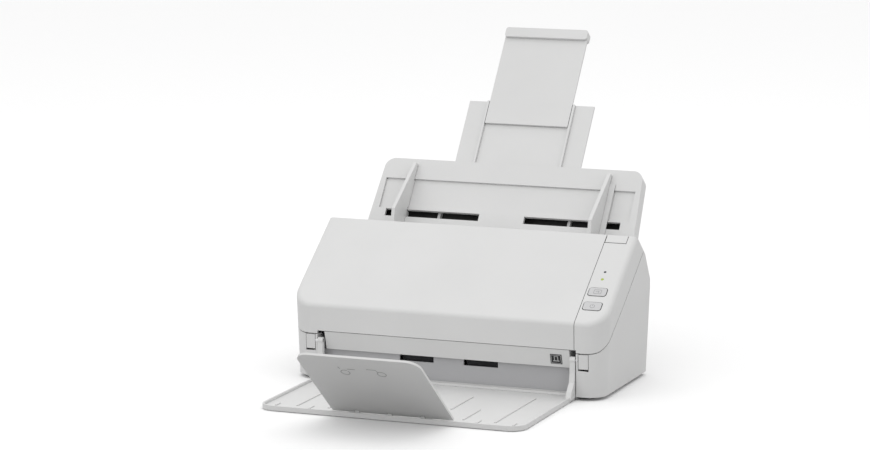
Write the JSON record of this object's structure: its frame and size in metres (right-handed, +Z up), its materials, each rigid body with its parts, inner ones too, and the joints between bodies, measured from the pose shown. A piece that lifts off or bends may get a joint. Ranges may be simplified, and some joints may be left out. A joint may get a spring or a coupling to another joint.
{
  "type": "sheet fed document scanner",
  "caption": "Desktop sheet fed scanner: wedge body with hinged cover, rear paper chute with sliding side guides and telescopic extension, folding front stacker",
  "frame": {"origin": "on the desk, under the middle of the body's 298 x 135 mm footprint", "axes": "+X to the operator's right, +Y to the back, +Z up"},
  "size_m": [0.298, 0.4857, 0.2956],
  "materials": {
    "case_white": "fine textured",
    "tray_white": "fine textured",
    "inner_grey": "satin",
    "inner_dark": "satin",
    "button_grey": "satin",
    "gear_white": "smooth",
    "sheet_steel": "zinc plated",
    "shaft_steel": "ground",
    "roller_rubber": "matt",
    "foot_rubber": "matt",
    "sensor_glass": "polished",
    "board_green": "satin",
    "lamp_clear": "clear",
    "label_dark": "printed",
    "bush_black": "smooth"
  },
  "bodies": {
    "body": {"bottom_tray": "case_white", "rubber_feet": "foot_rubber", "side_cover_left": "case_white", "side_cover_right": "case_white", "rear_cover": "case_white", "exit_wall": "inner_grey", "frame_left": "sheet_steel", "frame_right": "sheet_steel", "lower_paper_guide": "inner_grey", "lower_sensor_bar": "inner_dark", "lower_sensor_glass": "sensor_glass", "main_board": "board_green", "power_inlet": "inner_dark", "data_socket": "inner_dark", "drive_motor": "sheet_steel", "shaft_bushes": "bush_black", "idler_axles": "shaft_steel", "hinge_pins": "shaft_steel", "latch_strikers": "shaft_steel", "case_screws": "shaft_steel", "paper_chute": "case_white", "chute_back_panel": "case_white"},
    "cover": {"front_cover": "case_white", "control_panel_cover": "case_white", "status_lamps": "lamp_clear", "panel_board": "board_green", "cover_inner_frame": "case_white", "hinge_lug_left": "case_white", "hinge_lug_right": "case_white", "front_label": "label_dark", "upper_sensor_bar": "inner_dark", "upper_sensor_glass": "sensor_glass", "latch_spring": "shaft_steel"},
    "latch": {"cover_open_lever": "case_white", "latch_shaft": "shaft_steel"},
    "scan_key": {"scan_button": "button_grey"},
    "power_key": {"power_button": "button_grey"},
    "pick": {"pick_roller": "roller_rubber", "pick_shaft": "shaft_steel", "pick_gear": "gear_white"},
    "feed": {"feed_rollers": "roller_rubber", "feed_shaft": "shaft_steel", "feed_gear": "gear_white"},
    "eject": {"eject_rollers": "roller_rubber", "eject_shaft": "shaft_steel", "eject_gear": "gear_white"},
    "idler": {"idler_gear": "gear_white"},
    "transfer": {"transfer_gear": "gear_white"},
    "motor_rotor": {"motor_pinion": "shaft_steel"},
    "brake": {"brake_roller": "roller_rubber", "brake_shaft": "shaft_steel"},
    "feed_pinch": {"feed_pinch_rollers": "bush_black"},
    "eject_pinch": {"eject_pinch_rollers": "bush_black"},
    "guide_right": {"side_guide_right": "case_white"},
    "guide_left": {"side_guide_left": "case_white"},
    "guide_gear": {"guide_pinion": "gear_white"},
    "extension_low": {"extension_lower_stage": "case_white"},
    "extension_high": {"extension_upper_stage": "case_white"},
    "stacker": {"stacker_tray": "tray_white"},
    "stopper": {"stopper_flap": "tray_white"}
  },
  "joints": [
    {"name": "cover_hinge", "type": "hinge", "parent": "body", "child": "cover", "pos_m": [0, -0.0605, 0.0345], "axis": [1, 0, 0], "range_deg": [0, 65]},
    {"name": "latch_turn", "type": "hinge", "parent": "cover", "child": "latch", "pos_m": [0, -0.004, 0.104], "axis": [1, 0, 0], "range_deg": [0, 7], "stiffness_Nm_per_rad": 0.3},
    {"name": "scan_press", "type": "slide", "parent": "cover", "child": "scan_key", "axis": [0, 0.5808, -0.814], "range_m": [0, 0.001], "stiffness_N_per_m": 300},
    {"name": "power_press", "type": "slide", "parent": "cover", "child": "power_key", "axis": [0, 0.5808, -0.814], "range_m": [0, 0.001], "stiffness_N_per_m": 300},
    {"name": "feed_spin", "type": "hinge", "parent": "body", "child": "feed", "pos_m": [0, 0.003, 0.0495], "axis": [1, 0, 0], "continuous": true},
    {"name": "pick_spin", "type": "hinge", "parent": "body", "child": "pick", "pos_m": [0, 0.02714, 0.05598], "axis": [1, 0, 0], "continuous": true},
    {"name": "eject_spin", "type": "hinge", "parent": "body", "child": "eject", "pos_m": [0, -0.0465, 0.02476], "axis": [1, 0, 0], "continuous": true},
    {"name": "idler_spin", "type": "hinge", "parent": "body", "child": "idler", "pos_m": [0, 0.01766, 0.04309], "axis": [1, 0, 0], "continuous": true},
    {"name": "transfer_spin", "type": "hinge", "parent": "body", "child": "transfer", "pos_m": [0, -0.01983, 0.03329], "axis": [1, 0, 0], "continuous": true},
    {"name": "motor_spin", "type": "hinge", "parent": "body", "child": "motor_rotor", "pos_m": [0, 0.02756, 0.03319], "axis": [1, 0, 0], "continuous": true},
    {"name": "brake_spin", "type": "hinge", "parent": "cover", "child": "brake", "pos_m": [0, 0.01726, 0.07598], "axis": [1, 0, 0], "continuous": true},
    {"name": "feed_pinch_spin", "type": "hinge", "parent": "cover", "child": "feed_pinch", "pos_m": [0, -0.0025, 0.06051], "axis": [1, 0, 0], "continuous": true},
    {"name": "eject_pinch_spin", "type": "hinge", "parent": "cover", "child": "eject_pinch", "pos_m": [0, -0.05197, 0.03444], "axis": [1, 0, 0], "continuous": true},
    {"name": "guide_right_slide", "type": "slide", "parent": "body", "child": "guide_right", "axis": [1, 0, 0], "range_m": [-0.0675, 0.0145]},
    {"name": "guide_left_slide", "type": "slide", "parent": "body", "child": "guide_left", "axis": [1, 0, 0], "range_m": [-0.0145, 0.0675]},
    {"name": "guide_gear_spin", "type": "hinge", "parent": "body", "child": "guide_gear", "pos_m": [0, 0.07732, 0.13214], "axis": [0, -0.8039, 0.5948], "range_deg": [-138.6, 644.7]},
    {"name": "extension_low_slide", "type": "slide", "parent": "body", "child": "extension_low", "axis": [0, 0.5948, 0.8039], "range_m": [-0.066, 0]},
    {"name": "extension_high_slide", "type": "slide", "parent": "extension_low", "child": "extension_high", "axis": [0, 0.5948, 0.8039], "range_m": [-0.0685, 0]},
    {"name": "stacker_hinge", "type": "hinge", "parent": "body", "child": "stacker", "pos_m": [0, -0.0645, 0.036], "axis": [1, 0, 0], "range_deg": [-128, 0]},
    {"name": "stopper_hinge", "type": "hinge", "parent": "stacker", "child": "stopper", "pos_m": [0, -0.1924, 0.0046], "axis": [-1, 0, 0], "range_deg": [0, 141.7]}
  ],
  "couplings": [
    {"joint": "pick_spin", "follows": "feed_spin", "ratio": 1},
    {"joint": "eject_spin", "follows": "feed_spin", "ratio": 1},
    {"joint": "idler_spin", "follows": "feed_spin", "ratio": -1},
    {"joint": "transfer_spin", "follows": "feed_spin", "ratio": -0.4},
    {"joint": "motor_spin", "follows": "feed_spin", "ratio": 1.3333},
    {"joint": "guide_left_slide", "follows": "guide_right_slide", "ratio": -1},
    {"joint": "guide_gear_spin", "follows": "guide_right_slide", "rad_per_m": -166.67}
  ]
}
